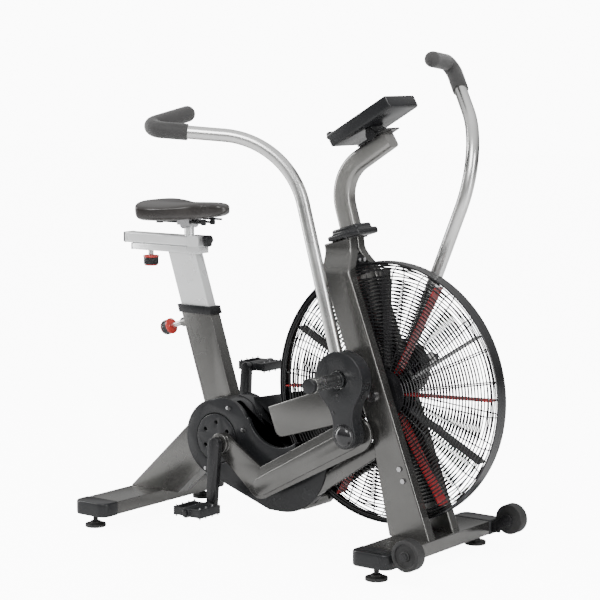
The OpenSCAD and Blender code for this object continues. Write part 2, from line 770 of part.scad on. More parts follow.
// Centre line of the mast: up and back, then round and forward.
mast_dir = [-sin(mast_lean), cos(mast_lean)];
mast_knee = mast_start + 60 * mast_dir;
mast_turn = mast_knee + mast_r * [mast_dir[1], -mast_dir[0]];
mast_bend = arc(mast_turn, mast_r, 180 + mast_lean, 90 + mast_rise, 14);
mast_neck = mast_bend[14];
mast_path = concat([mast_start], mast_bend, [mast_neck + 110 * [cos(mast_rise), sin(mast_rise)]]);
module mast() place() color("silver") difference() {
    slab(-22, 22) polygon(strip(mast_path, 26));
    slab(-22 + wall, 22 - wall) polygon(strip(mast_path, 26 - wall));
}

// Plastic collar on top of the legs, tilted with them.
module head_axes() translate([mast_start[0], 0, mast_start[1]])
    rotate([0, -mast_lean, 0]) children();
module mast_collar() place() color("black") difference() {
    head_axes() union() {
        block([-52, 52], [-46, 46], [-24, -6]);
        block([-42, 42], [-34, 34], [-6, 8]);
    }
    head_axes() block([-26.2, 26.2], [-22.2, 22.2], [-1, 20]);
    slab(-60, 60) leg_profile(0);
}

module console_axes() translate([console_at[0], 0, console_at[1]])
    rotate([0, -console_tilt, 0]) children();
case_len = 214;
case_half = 65;
case_t = 34;
console_pin = [104, -case_t - 11];   // tilt pivot under the case

module console_case() place() color("black") difference() {
    console_axes() union() {
        block([0, case_len], [-case_half, case_half], [-case_t, 0]);
        block([-6, 10], [-case_half + 8, case_half - 8], [-8, 10]);
        slab(-30, 30) stadium(console_pin, 9, console_pin + [0, 12], 9);
    }
    console_axes() block([140, 202], [-52, 52], [-4, 1]);
    for (i = [0:2]) key_axes(i) block([-12.3, 12.3], [-8.3, 8.3], [-4, 3]);
    console_axes() bar_y(5.06, -40, 40, console_pin);
}
module console_screen() place() color("darkslategray")
    console_axes() block([140, 202], [-52, 52], [-4, -0.5]);

module key_axes(i) console_axes() translate([70, (i - 1) * 36, 0]) children();
module button(i) place() color("silver") key_axes(i) block([-12, 12], [-8, 8], [-1, 1.6]);
module button_1() button(0);
module button_2() button(1);
module button_3() button(2);

module console_bracket() place() color("black") {
    difference() {
        console_axes() union() {
            both() slab(31, 35) stadium(console_pin, 9, console_pin - [0, 10], 14);
            block([55, 150], [-35, 35], [-case_t - 30, -case_t - 26]);
        }
        slab(-22, 22) polygon(strip(mast_path, 26));
        console_axes() bar_y(5, 25, 40, console_pin);
        console_axes() bar_y(5, -40, -25, console_pin);
    }
    console_axes() both() bar_y(5, 20, 37, console_pin);
}

// ---- fasteners ---------------------------------------------------------------

module hex_head(r, y0, y1, at) translate([at[0], y1, at[1]]) rotate([90, 0, 0])
    cylinder(h = y1 - y0, r = r, $fn = 6);

module fasteners() place() color("silver") {
    both() {
        for (a = [66, 20, -48, -114])
            bar_y(5, cover_y, cover_y + 2, [crank_x, crank_z] + 97 * [cos(a), sin(a)]);
        hex_head(7, leg_out, leg_out + 5, [leg_front(250) - 24, 250]);
        hex_head(7, leg_out, leg_out + 5, [leg_front(220) - 24, 220]);
        translate([-92, 11, 772]) rotate([0, 90, 0]) cylinder(h = 6, r = 6, $fn = 6);
    }
}

main_beam();
rear_strut();
seat_tube();
front_legs();
head_bracket();
front_stabilizer();
rear_stabilizer();
end_caps();
levelling_feet();
wheel_brackets();
crank_cover_right();
crank_cover_left();
belt_guard();
upper_cover();
drive_belt();
fan_axle();
fan_cage_right();
fan_cage_left();
foot_pegs();
seat_collar();
mast();
mast_collar();
console_bracket();
fasteners();
crank_bearings();
crank_spindle();
crank_pulley();
crank_discs();
crank_arms();
link_right();
link_left();
pedal_right();
pedal_left();
fan_hub();
fan_blades();
fan_red_blades();
fan_pulley();
fan_bearings();
arm_right();
arm_left();
grip_right();
grip_left();
arm_cover_right();
arm_cover_left();
wheel_right();
wheel_left();
seat_post();
seat_rail();
height_knob();
seat_slider();
rail_knob();
clamp_knob();
saddle_clamp();
saddle_base();
saddle_pad();
console_case();
console_screen();
button_1();
button_2();
button_3();
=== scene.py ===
# %% [markdown]
# # Dressing an air bike
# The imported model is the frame: it has every part at its true size and place.
# This lesson gives it rounded edges, wires, padding and finishes.
# Lengths are given in millimetres from the fan axle, as they would be taken from the machine with a tape.
# A small function turns them into metres in the frame.

# %% Load the frame
import json
import math

import bpy
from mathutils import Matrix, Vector


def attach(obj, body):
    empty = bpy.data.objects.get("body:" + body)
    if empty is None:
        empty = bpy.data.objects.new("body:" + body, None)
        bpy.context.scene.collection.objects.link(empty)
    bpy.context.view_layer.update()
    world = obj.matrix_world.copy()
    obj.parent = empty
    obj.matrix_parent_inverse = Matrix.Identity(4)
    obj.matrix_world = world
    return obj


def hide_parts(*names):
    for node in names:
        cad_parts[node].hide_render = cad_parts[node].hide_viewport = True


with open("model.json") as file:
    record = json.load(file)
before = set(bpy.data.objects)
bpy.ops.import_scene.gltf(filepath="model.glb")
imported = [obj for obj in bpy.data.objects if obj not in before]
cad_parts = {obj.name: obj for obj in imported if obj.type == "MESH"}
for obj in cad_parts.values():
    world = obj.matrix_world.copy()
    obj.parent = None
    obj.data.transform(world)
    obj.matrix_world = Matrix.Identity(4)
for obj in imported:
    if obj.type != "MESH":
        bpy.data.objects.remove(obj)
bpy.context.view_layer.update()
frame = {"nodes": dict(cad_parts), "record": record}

record = frame["record"]
node_body = {n: body for body, nodes in record["behaviour"]["bodies"].items() for n in nodes}
node_slot = {part["node"]: part["material_slot"] for part in record["subparts"]}


FAN_X = 277.5        # the fan axle's place in the frame
FAN_Z = 430          # its height
CRANK = (-527, 256)  # crank axle: x and z
PIVOT = (-50, 478)   # arm pivots: x and z
LEVER_PIN = (-30, 335)
SEAT_LEAN = math.radians(18.1)
ARM_SWING = math.radians(38)


def at(x, y, z):
    """A point given in millimetres from under the fan axle, in metres in the frame."""
    return Vector(((x + FAN_X) / 1000, y / 1000, z / 1000))


# %% [markdown]
# ## Working by hand, in code
# An operator acts on whatever is selected, so each step first lets go of everything and then takes one piece.
# The alternative is to write vertices one by one, which is harder to read and to change.

# %% Small helpers for taking and finishing a piece
def let_go():
    if bpy.context.mode != "OBJECT":
        bpy.ops.object.mode_set(mode="OBJECT")
    bpy.ops.object.select_all(action="DESELECT")


def take(piece, editing=False):
    let_go()
    piece.select_set(True)
    bpy.context.view_layer.objects.active = piece
    if editing:
        bpy.ops.object.mode_set(mode="EDIT")
        bpy.ops.mesh.select_all(action="SELECT")


def modify(piece, kind, **settings):
    take(piece)
    step = piece.modifiers.new(kind.title(), kind)
    for key, value in settings.items():
        setattr(step, key, value)
    bpy.ops.object.modifier_apply(modifier=step.name)


def close_up(piece, angle=35):
    """Merges doubles, turns faces outwards, puts the place into the mesh and smooths it."""
    take(piece)
    bpy.ops.object.transform_apply(location=True, rotation=True, scale=True)
    take(piece, editing=True)
    bpy.ops.mesh.remove_doubles(threshold=0.00002)
    bpy.ops.mesh.normals_make_consistent(inside=False)
    let_go()
    take(piece)
    bpy.ops.object.shade_smooth_by_angle(angle=math.radians(angle))


def turn_about(piece, centre, angle):
    """Turns a mesh about a line through a point, along the width of the machine."""
    for move in (Matrix.Translation(-centre), Matrix.Rotation(angle, 4, "Y"), Matrix.Translation(centre)):
        piece.data.transform(move)
    return piece


def join(pieces, name):
    let_go()
    for piece in pieces:
        piece.select_set(True)
    bpy.context.view_layer.objects.active = pieces[0]
    bpy.ops.object.join()
    pieces[0].name = name
    return pieces[0]


def hand_over(piece, like, finish, stands_for=()):
    """The piece moves with the CAD node it is like, takes the given finish and hides the CAD nodes it stands for."""
    piece.data.materials.clear()
    piece.data.materials.append(finish)
    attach(piece, node_body[like])
    if stands_for:
        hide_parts(*stands_for)
    print(f"{piece.name}: {len(piece.data.polygons)} faces, on {node_body[like]}")


# %% [markdown]
# ## Shared surface effects
# Powder coat, moulded plastic and foam all have a fine grain, and broad patches where the sheen changes.
# One node group makes both, so that every finish can set its own scale.
# It gives only a height and masks: the shader stays in each material.

# %% The grain group
def group_socket(group, name, way, value=None):
    socket = group.interface.new_socket(name=name, in_out=way, socket_type="NodeSocketFloat")
    if value is not None:
        socket.default_value = value


grain = bpy.data.node_groups.new("surface_grain", "ShaderNodeTree")
group_socket(grain, "Grain Scale", "INPUT", 900)
group_socket(grain, "Patch Scale", "INPUT", 9)
group_socket(grain, "Height", "OUTPUT")
group_socket(grain, "Patch", "OUTPUT")
group_socket(grain, "Fleck", "OUTPUT")
g_in = grain.nodes.new("NodeGroupInput")
g_out = grain.nodes.new("NodeGroupOutput")
g_place = grain.nodes.new("ShaderNodeTexCoord")
g_fine = grain.nodes.new("ShaderNodeTexNoise")
g_fine.inputs["Detail"].default_value = 3
g_patch = grain.nodes.new("ShaderNodeTexNoise")
g_patch.inputs["Detail"].default_value = 4
g_fleck = grain.nodes.new("ShaderNodeTexVoronoi")
for node in (g_fine, g_patch, g_fleck):
    grain.links.new(g_place.outputs["Object"], node.inputs["Vector"])
grain.links.new(g_in.outputs["Grain Scale"], g_fine.inputs["Scale"])
grain.links.new(g_in.outputs["Patch Scale"], g_patch.inputs["Scale"])
grain.links.new(g_in.outputs["Grain Scale"], g_fleck.inputs["Scale"])
g_split = grain.nodes.new("ShaderNodeSeparateColor")
grain.links.new(g_fleck.outputs["Color"], g_split.inputs["Color"])
grain.links.new(g_fine.outputs["Fac"], g_out.inputs["Height"])
grain.links.new(g_patch.outputs["Fac"], g_out.inputs["Patch"])
grain.links.new(g_split.outputs["Red"], g_out.inputs["Fleck"])
print("grain group:", len(grain.nodes), "nodes")


# %% [markdown]
# ## One recipe for every finish
# Paint, metal, plastic, foam and vinyl differ in a few numbers: two tones, a range of sheen, and a height of grain.
# One function keeps them alike, which a separate tree for each material would not.

# %% A finish made from the grain
def finish(name, dark, light, rough, metallic=0.0, grain_scale=900, patch_scale=9, bump=0.0002,
           fleck=0.0, coat=0.0, coat_rough=0.1, sheen=0.0, specular=0.5):
    """A material whose colour, roughness and bump all follow the shared grain."""
    material = bpy.data.materials.new(name)
    material.use_nodes = True
    tree = material.node_tree
    shader = tree.nodes["Principled BSDF"]
    shader.inputs["Metallic"].default_value = metallic
    shader.inputs["Coat Weight"].default_value = coat
    shader.inputs["Coat Roughness"].default_value = coat_rough
    shader.inputs["Sheen Weight"].default_value = sheen
    shader.inputs["Specular IOR Level"].default_value = specular
    texture = tree.nodes.new("ShaderNodeGroup")
    texture.node_tree = grain
    texture.inputs["Grain Scale"].default_value = grain_scale
    texture.inputs["Patch Scale"].default_value = patch_scale
    tones = tree.nodes.new("ShaderNodeMix")
    tones.data_type = "RGBA"
    tones.inputs["A"].default_value = (*dark, 1)
    tones.inputs["B"].default_value = (*light, 1)
    blend = tree.nodes.new("ShaderNodeMapRange")
    blend.inputs["From Min"].default_value = 0.3
    blend.inputs["From Max"].default_value = 0.7
    tree.links.new(texture.outputs["Patch"], blend.inputs["Value"])
    spark = tree.nodes.new("ShaderNodeMath")
    spark.operation = "MULTIPLY_ADD"
    spark.inputs[1].default_value = fleck
    tree.links.new(texture.outputs["Fleck"], spark.inputs[0])
    tree.links.new(blend.outputs["Result"], spark.inputs[2])
    tree.links.new(spark.outputs["Value"], tones.inputs["Factor"])
    tree.links.new(tones.outputs["Result"], shader.inputs["Base Color"])
    sheen_range = tree.nodes.new("ShaderNodeMapRange")
    sheen_range.inputs["From Min"].default_value = 0.25
    sheen_range.inputs["From Max"].default_value = 0.75
    sheen_range.inputs["To Min"].default_value = rough[0]
    sheen_range.inputs["To Max"].default_value = rough[1]
    tree.links.new(texture.outputs["Patch"], sheen_range.inputs["Value"])
    tree.links.new(sheen_range.outputs["Result"], shader.inputs["Roughness"])
    relief = tree.nodes.new("ShaderNodeBump")
    relief.inputs["Strength"].default_value = 0.6
    relief.inputs["Distance"].default_value = bump
    tree.links.new(texture.outputs["Height"], relief.inputs["Height"])
    tree.links.new(relief.outputs["Normal"], shader.inputs["Normal"])
    return material


# %% [markdown]
# ## The finishes
# The frame has a warm grey metallic coat: dark and light flecks under a clear layer.
# The arms and the seat post are bare aluminium with a satin polish.
# Covers are charcoal plastic with a fine moulded texture, and the cage is glossy black wire.
# The saddle is smooth vinyl, so it has a coat and a grain that is only just there.

# %% One finish per material slot
finishes = {
    "frame_grey": finish("frame_paint", (0.105, 0.104, 0.1), (0.15, 0.148, 0.142), (0.22, 0.3), metallic=0.85,
                         grain_scale=1400, patch_scale=5, bump=0.00003, fleck=0.3, coat=0.35, coat_rough=0.18),
    "silver_tube": finish("satin_aluminium", (0.60, 0.60, 0.59), (0.72, 0.72, 0.71), (0.22, 0.32), metallic=1.0,
                          grain_scale=1600, patch_scale=7, bump=0.00002, fleck=0.1),
    "mast_metal": finish("mast_paint", (0.20, 0.198, 0.19), (0.27, 0.266, 0.255), (0.25, 0.33), metallic=0.85,
                         grain_scale=1400, patch_scale=6, bump=0.00003, fleck=0.3, coat=0.3, coat_rough=0.2),
    "black_plastic": finish("charcoal_plastic", (0.011, 0.0115, 0.0125), (0.019, 0.0195, 0.021), (0.24, 0.32),
                            grain_scale=1500, patch_scale=8, bump=0.00003, coat=0.1, coat_rough=0.16, specular=0.28),
    "black_metal": finish("black_enamel", (0.008, 0.008, 0.009), (0.016, 0.016, 0.017), (0.2, 0.3),
                          grain_scale=1200, patch_scale=10, bump=0.00002, coat=0.15, coat_rough=0.15, specular=0.3),
    "gloss_black": finish("gloss_black_plastic", (0.01, 0.01, 0.011), (0.016, 0.016, 0.017), (0.1, 0.16),
                          grain_scale=1500, patch_scale=10, bump=0.00001, coat=0.3, coat_rough=0.06, specular=0.4),
    "steel": finish("turned_steel", (0.42, 0.42, 0.43), (0.55, 0.55, 0.56), (0.2, 0.3), metallic=1.0,
                    grain_scale=1200, patch_scale=12, bump=0.00001, fleck=0.04),
    "foam": finish("grip_foam", (0.016, 0.0155, 0.0155), (0.035, 0.034, 0.034), (0.6, 0.78),
                   grain_scale=1100, patch_scale=14, bump=0.0005, fleck=0.2, sheen=0.3),
    "tyre_rubber": finish("solid_rubber", (0.012, 0.012, 0.012), (0.022, 0.022, 0.022), (0.5, 0.66),
                          grain_scale=900, patch_scale=14, bump=0.0002),
    "red": finish("red_plastic", (0.42, 0.02, 0.015), (0.58, 0.035, 0.025), (0.26, 0.38),
                  grain_scale=1300, patch_scale=14, bump=0.00008, coat=0.3),
    "red_blade": finish("red_blade_coat", (0.36, 0.008, 0.012), (0.5, 0.015, 0.02), (0.3, 0.42),
                        grain_scale=1200, patch_scale=8, bump=0.00005, coat=0.3),
    "vinyl": finish("saddle_vinyl", (0.020, 0.017, 0.016), (0.030, 0.026, 0.024), (0.26, 0.34),
                    grain_scale=850, patch_scale=10, bump=0.0001, coat=0.3, coat_rough=0.24),
    "screen": finish("display_window", (0.012, 0.016, 0.017), (0.02, 0.026, 0.027), (0.06, 0.12),
                     grain_scale=600, patch_scale=20, bump=0.00001, coat=0.8, coat_rough=0.04),
    "belt_rubber": finish("belt_rubber", (0.01, 0.01, 0.01), (0.02, 0.02, 0.02), (0.5, 0.65),
                          grain_scale=900, patch_scale=14, bump=0.0001),
}
bright = finish("bright_aluminium", (0.74, 0.75, 0.75), (0.82, 0.83, 0.83), (0.24, 0.34), metallic=0.45,
                grain_scale=1600, patch_scale=7, bump=0.00001, fleck=0.05)
for name, cad in frame["nodes"].items():
    cad.data.materials.clear()
    cad.data.materials.append(bright if name in ("seat_post", "seat_slider") else finishes[node_slot[name]])
print(len(finishes), "finishes on", len(frame["nodes"]), "nodes")


# %% [markdown]
# ## Rounded edges
# Real castings, mouldings and painted tubes have no knife edges: a small radius catches the light.
# A copy of the CAD shape is merged, its flat faces are cleaned, and a bevel rounds whatever is sharp.
# Modelling each of these again would gain nothing, because their shapes are already right.

# %% Ease the edges of the CAD shapes
def eased(node, width, segments=3, sharp=38):
    source = frame["nodes"][node]
    piece = bpy.data.objects.new(node + "_eased", source.data.copy())
    bpy.context.collection.objects.link(piece)
    take(piece)
    bpy.ops.mesh.customdata_custom_splitnormals_clear()
    take(piece, editing=True)
    bpy.ops.mesh.remove_doubles(threshold=0.00002)
    bpy.ops.mesh.dissolve_limited(angle_limit=math.radians(0.6))
    modify(piece, "BEVEL", width=width / 1000, segments=segments, limit_method="ANGLE",
           angle_limit=math.radians(sharp), use_clamp_overlap=False, miter_outer="MITER_ARC")
    take(piece)
    bpy.ops.object.shade_smooth_by_angle(angle=math.radians(32))
    hand_over(piece, node, bright if node == "seat_rail" else finishes[node_slot[node]], (node,))
    return piece


easings = {
    "seat_tube": 1.2, "rear_strut": 1.2, "main_beam": 1.5, "front_stabilizer": 1.2, "rear_stabilizer": 1.2,
    "end_caps": 5, "levelling_feet": 1.5, "crank_cover_right": 2.8, "crank_cover_left": 2.8,
    "upper_cover": 2.6, "seat_collar": 1.5, "mast_collar": 6, "crank_discs": 2, "crank_arms": 2.5,
    "link_right": 1.6, "link_left": 1.6, "arm_cover_right": 2.6, "arm_cover_left": 2.6,
    "pedal_right": 1.2, "pedal_left": 1.2, "wheel_right": 2.5, "wheel_left": 2.5, "seat_rail": 1.5,
    "clamp_knob": 1.5, "console_case": 6, "foot_pegs": 1.2,
    "head_bracket": 1, "saddle_base": 1, "wheel_brackets": 1,
}
for node, width in easings.items():
    eased(node, width)

# %% [markdown]
# ## The front legs
# Each leg is one large flattened tube, leaning back, with broad round edges and a bend in to the head.
# It could be bent along a curve, but a drawn tube is simplest as a foot section that is extruded upwards
# and resized at each station, with one bevel round all its long edges at the end.

# %% Draw the legs up from the stabilizer
def leg_sections():
    """Height, front edge, rear edge, inner side and outer side at each station."""
    for z in (70, 150, 230, 315, 450, 600, 735, 745, 755, 765, 775, 785, 795, 805, 815):
        front = 176 - 0.377 * (z - 74)
        rear = 52 - (z - 74) * 53 / 241 if z < 315 else front - 86
        lean = (1 - math.cos(math.pi * min(1, max(0, (z - 735) / 70)))) / 2
        yield z, front, rear, 41 - 40 * lean, 75 - 40 * lean


def draw_leg(name, side):
    stations = list(leg_sections())
    z, front, rear, inner, outer = stations[0]
    middle = at((front + rear) / 2, side * (inner + outer) / 2, z)
    let_go()
    bpy.ops.mesh.primitive_plane_add(size=1, location=middle)
    leg = bpy.context.object
    leg.name = name
    take(leg, editing=True)
    length, width = front - rear, outer - inner
    bpy.ops.transform.resize(value=(length / 1000, width / 1000, 1), center_override=middle)
    for z, front, rear, inner, outer in stations[1:]:
        new = at((front + rear) / 2, side * (inner + outer) / 2, z)
        bpy.ops.mesh.extrude_region_move(TRANSFORM_OT_translate={"value": new - middle})
        bpy.ops.transform.resize(value=((front - rear) / length, (outer - inner) / width, 1), center_override=new)
        middle, length, width = new, front - rear, outer - inner
    close_up(leg)
    for v in leg.data.vertices:
        if v.co.z > 0.81:
            v.co.z += 0.006 + (v.co.x - middle.x) * 0.3
    modify(leg, "BEVEL", width=0.0135, segments=6, limit_method="ANGLE", angle_limit=math.radians(60))
    close_up(leg, 40)
    return leg


legs = join([draw_leg("leg_right", -1), draw_leg("leg_left", 1)], "drawn_legs")
hand_over(legs, "front_legs", finishes["frame_grey"], ("front_legs",))

# %% [markdown]
# ## The mast
# The mast is a rounded rectangular tube that rises from the head, turns forward and carries the console.
# A rounded section is extruded up, spun round the bend and extruded again, as a tube bender would do it.

# %% Bend the mast
lean, rise = math.radians(16.7), math.radians(32)
foot = at(-121, 0, 845)
along = Vector((-math.sin(lean), 0, math.cos(lean)))
let_go()
bpy.ops.mesh.primitive_plane_add(size=1, location=foot, rotation=(0, -lean, 0))
mast = bpy.context.object
mast.name = "bent_mast"
mast.scale = (0.052, 0.044, 1)
bpy.ops.object.transform_apply(location=True, rotation=True, scale=True)
take(mast, editing=True)
bpy.ops.mesh.bevel(offset=0.013, segments=5, affect="VERTICES")
bpy.ops.mesh.select_all(action="SELECT")
bpy.ops.mesh.extrude_region_move(TRANSFORM_OT_translate={"value": along * 0.065})
knee = foot + along * 0.065
hub = knee + Vector((math.cos(lean), 0, math.sin(lean))) * 0.110
turn = math.radians(90) + lean - rise
bpy.ops.mesh.spin(steps=20, angle=-turn, center=hub, axis=(0, 1, 0))
forward = Vector((math.cos(rise), 0, math.sin(rise)))
bpy.ops.mesh.extrude_region_move(TRANSFORM_OT_translate={"value": forward * 0.110})
close_up(mast, 30)
hand_over(mast, "mast", finishes["mast_metal"], ("mast",))
print("mast end:", [round(v, 3) for v in max((v.co for v in mast.data.vertices), key=lambda c: c.x)])

# %% [markdown]
# ## The fan cage
# The cage is a guard of round wires: close rings, a shoulder that turns to the rim, and radial wires behind.
# A flat disc with slots would look the same from far off, but the wires are what makes this machine.
# One ring is a torus, and one radial wire is a small circle extruded along its path and copied round.

# %% Rings, radial wires and rim
ring_spots = [(66 + 9.4 * i, 30) for i in range(26)]
ring_spots += [(311 + 30 * math.sin(math.radians(a)), 30 * math.cos(math.radians(a))) for a in (18, 36, 54, 70)]


def wire_ring(radius, y, wire=2.0, segments=96):
    let_go()
    bpy.ops.mesh.primitive_torus_add(location=at(0, y, FAN_Z), rotation=(math.pi / 2, 0, 0), major_segments=segments,
                                     minor_segments=6, major_radius=radius / 1000, minor_radius=wire / 1000)
    return bpy.context.object


def radial_wire(side, turn_by):
    """A wire from the hub plate out to the shoulder and round to the rim."""
    let_go()
    bpy.ops.mesh.primitive_circle_add(vertices=6, radius=0.0016, fill_type="NGON", location=at(0, side * 27.5, 490))
    wire = bpy.context.object
    take(wire, editing=True)
    bpy.ops.mesh.extrude_region_move(TRANSFORM_OT_translate={"value": (0, 0, 0.248)})
    for a in (30, 60, 90):
        r0, r1 = math.radians(a - 30), math.radians(a)
        step = Vector((0, side * 0.0275 * (math.cos(r1) - math.cos(r0)), 0.0275 * (math.sin(r1) - math.sin(r0))))
        bpy.ops.mesh.extrude_region_move(TRANSFORM_OT_translate={"value": step})
    let_go()
    take(wire)
    bpy.ops.object.transform_apply(location=True, rotation=True, scale=True)
    return turn_about(wire, at(0, 0, FAN_Z), turn_by)


def hub_plate(side):
    """A pressed disc with a raised step and a small cup in its middle."""
    let_go()
    bpy.ops.mesh.primitive_cylinder_add(vertices=64, radius=0.066, depth=0.003, location=at(0, side * 29, FAN_Z),
                                        rotation=(side * -math.pi / 2, 0, 0))
    plate = bpy.context.object
    take(plate, editing=True)
    bpy.ops.mesh.select_all(action="DESELECT")
    let_go()
    for face in plate.data.polygons:
        face.select = len(face.vertices) > 8 and face.normal.z > 0.5
    bpy.ops.object.mode_set(mode="EDIT")
    bpy.ops.mesh.select_mode(type="FACE")
    bpy.ops.mesh.inset(thickness=0.012)
    bpy.ops.mesh.extrude_region_move(TRANSFORM_OT_translate={"value": (0, side * 0.003, 0)})
    bpy.ops.mesh.inset(thickness=0.03)
    bpy.ops.mesh.extrude_region_move(TRANSFORM_OT_translate={"value": (0, side * -0.002, 0)})
    close_up(plate, 30)
    return plate


def rim_band(side):
    """The strip that closes the cage between the shoulders."""
    let_go()
    bpy.ops.mesh.primitive_cylinder_add(vertices=128, radius=0.3425, depth=0.018, end_fill_type="NOTHING",
                                        location=at(0, side * 9.2, FAN_Z), rotation=(math.pi / 2, 0, 0))
    band = bpy.context.object
    modify(band, "SOLIDIFY", thickness=0.002, offset=-1)
    return band


for side, word in ((-1, "right"), (1, "left")):
    wires = [wire_ring(r, side * y) for r, y in ring_spots]
    wires += [wire_ring(341, side * 19, 2.2, 128)]
    wires += [radial_wire(side, math.radians(15 * i + 5)) for i in range(24)]
    cage = join(wires + [hub_plate(side), rim_band(side)], "wire_cage_" + word)
    close_up(cage, 40)
    hand_over(cage, "fan_cage_" + word, finishes["black_metal"], ("fan_cage_" + word,))

# %% [markdown]
# ## The grips
# Each arm ends in a foam sleeve that turns inward into a handle with a domed end.
# The section is a circle: it is extruded along the tube, spun round the elbow and extruded to the dome.
# The right grip is a mirrored copy, and the left grip is turned forward by the whole swing of the arm.

# %% Foam grips
tilt, splay, top = math.radians(105.6), math.radians(33.6), math.radians(174.4)
lower = Vector((math.cos(tilt), 0, math.sin(tilt)))
upper = Vector((math.cos(top) * math.cos(splay), math.sin(splay), math.sin(top) * math.cos(splay)))
bend = lower.angle(upper)
across = (upper - upper.dot(lower) * lower).normalized()
arm_straight, arm_bend = 0.460, 0.229
bend_end = (at(PIVOT[0], 140, PIVOT[1]) + arm_straight * lower
            + arm_bend * (1 - math.cos(bend)) * across + arm_bend * math.sin(bend) * lower)
handle = Vector((0.0285, -0.1674, 0.0362))
handle_dir = handle.normalized()
elbow = bend_end + 0.219 * upper
grip_turn = upper.angle(handle_dir)
grip_bend = 0.024
setback = grip_bend * math.tan(grip_turn / 2)


def foam_grip():
    start = bend_end + 0.095 * upper
    let_go()
    bpy.ops.mesh.primitive_circle_add(vertices=32, radius=0.0205, fill_type="NGON", location=start)
    grip = bpy.context.object
    grip.rotation_mode = "QUATERNION"
    grip.rotation_quaternion = upper.to_track_quat("Z", "Y")
    bpy.ops.object.transform_apply(location=True, rotation=True, scale=True)
    take(grip, editing=True)
    bpy.ops.mesh.extrude_region_move(TRANSFORM_OT_translate={"value": upper * 0.002})
    bpy.ops.transform.resize(value=(1.06, 1.06, 1.06), center_override=start + upper * 0.002)
    straight = (elbow - upper * setback) - (start + upper * 0.002)
    bpy.ops.mesh.extrude_region_move(TRANSFORM_OT_translate={"value": straight})
    axis = upper.cross(handle_dir).normalized()
    side_way = axis.cross(upper).normalized()
    hub = elbow - upper * setback + side_way * grip_bend
    bpy.ops.mesh.spin(steps=12, angle=-grip_turn, center=hub, axis=axis)
    end = elbow + handle_dir * (handle.length - 0.012)
    bpy.ops.mesh.extrude_region_move(TRANSFORM_OT_translate={"value": end - (elbow + handle_dir * setback)})
    size = 1.0
    for i in range(1, 6):
        a, b = math.radians(18 * (i - 1)), math.radians(18 * i)
        bpy.ops.mesh.extrude_region_move(
            TRANSFORM_OT_translate={"value": handle_dir * 0.0217 * (math.sin(b) - math.sin(a))})
        end = end + handle_dir * 0.0217 * (math.sin(b) - math.sin(a))
        scale = max(0.12, math.cos(b)) / size
        bpy.ops.transform.resize(value=(scale, scale, scale), center_override=end)
        size = max(0.12, math.cos(b))
    close_up(grip, 50)
    return grip


def mirror_y(piece):
    piece.data.transform(Matrix.Scale(-1, 4, (0, 1, 0)))
    close_up(piece, 50)


grip_right = foam_grip()
mirror_y(grip_right)
grip_right.name = "foam_grip_right"
hand_over(grip_right, "grip_right", finishes["foam"], ("grip_right",))
grip_left = turn_about(foam_grip(), at(PIVOT[0], 0, PIVOT[1]), ARM_SWING)
grip_left.name = "foam_grip_left"
hand_over(grip_left, "grip_left", finishes["foam"], ("grip_left",))

# %% [markdown]
# ## Pull knobs
# A pull knob is a bright shaft, a red flange, a ribbed black grip and a red end.
# Turned rings stacked on one axis make it, each with a bevelled edge.

# %% Turn the two knobs
def disc(place, axis, radius, depth, far_radius=None, edge=0.8, vertices=48):
    """A turned piece centred at a place, with its axis along a direction, in millimetres."""
    let_go()
    bpy.ops.mesh.primitive_cone_add(vertices=vertices, radius1=radius / 1000, depth=depth / 1000, location=place,
                                    radius2=(far_radius if far_radius is not None else radius) / 1000)
    piece = bpy.context.object
    piece.rotation_mode = "QUATERNION"
    piece.rotation_quaternion = Vector(axis).to_track_quat("Z", "Y")
    take(piece)
    bpy.ops.object.transform_apply(location=True, rotation=True, scale=True)
    if edge:
        modify(piece, "BEVEL", width=edge / 1000, segments=3, limit_method="ANGLE", angle_limit=math.radians(50))
    close_up(piece, 40)
    return piece


def pull_knob(node, root, axis, shaft):
    """The root is where the shaft leaves the frame, and the axis points outwards."""
    axis = Vector(axis).normalized()
    spot = lambda d: root + axis * d / 1000
    red = join([disc(spot(shaft + 2.5), axis, 22.5, 5), disc(spot(shaft + 27), axis, 19.2, 4, 18.2)], node + "_red")
    grip = [disc(spot(shaft + 15), axis, 21, 21, 19)]
    for i in range(18):
        around = axis.to_track_quat("Z", "Y") @ Vector((math.cos(i * math.pi / 9), math.sin(i * math.pi / 9), 0))
        grip.append(disc(spot(shaft + 15) + around * 0.0195, axis, 1.7, 19, edge=0, vertices=12))
    rod = join([disc(spot(shaft / 2 - 2.5), axis, 7.5, shaft + 5), disc(spot(-1), axis, 9.5, 6)], node + "_rod")
    hand_over(red, node, finishes["red"], (node,))
    hand_over(join(grip, node + "_grip"), node, finishes["black_plastic"])
    hand_over(rod, node, finishes["silver_tube"])


back = Vector((-math.cos(SEAT_LEAN), 0, -math.sin(SEAT_LEAN)))
up_seat = Vector((-math.sin(SEAT_LEAN), 0, math.cos(SEAT_LEAN)))
pull_knob("height_knob", at(CRANK[0], 0, CRANK[1]) + up_seat * 0.342 + back * 0.072, back, 42)
pull_knob("rail_knob", at(-818, 0, 757), (0, 0, -1), 16)

# %% [markdown]
# ## Caps, screws and pins
# Small separate pieces finish the machine: a domed cap at the foot of each arm cover, peg end caps and screws.
# They are turned pieces too, placed on the axes of the parts that they close.

# %% Domes, peg caps and screws
def plate(centre, size, edge=1.0):
    """A small block with eased edges, in millimetres."""
    let_go()
    bpy.ops.mesh.primitive_cube_add(size=1, location=centre)
    piece = bpy.context.object
    piece.scale = [length / 1000 for length in size]
    take(piece)
    bpy.ops.object.transform_apply(location=True, rotation=True, scale=True)
    modify(piece, "BEVEL", width=edge / 1000, segments=3)
    close_up(piece, 40)
    return piece


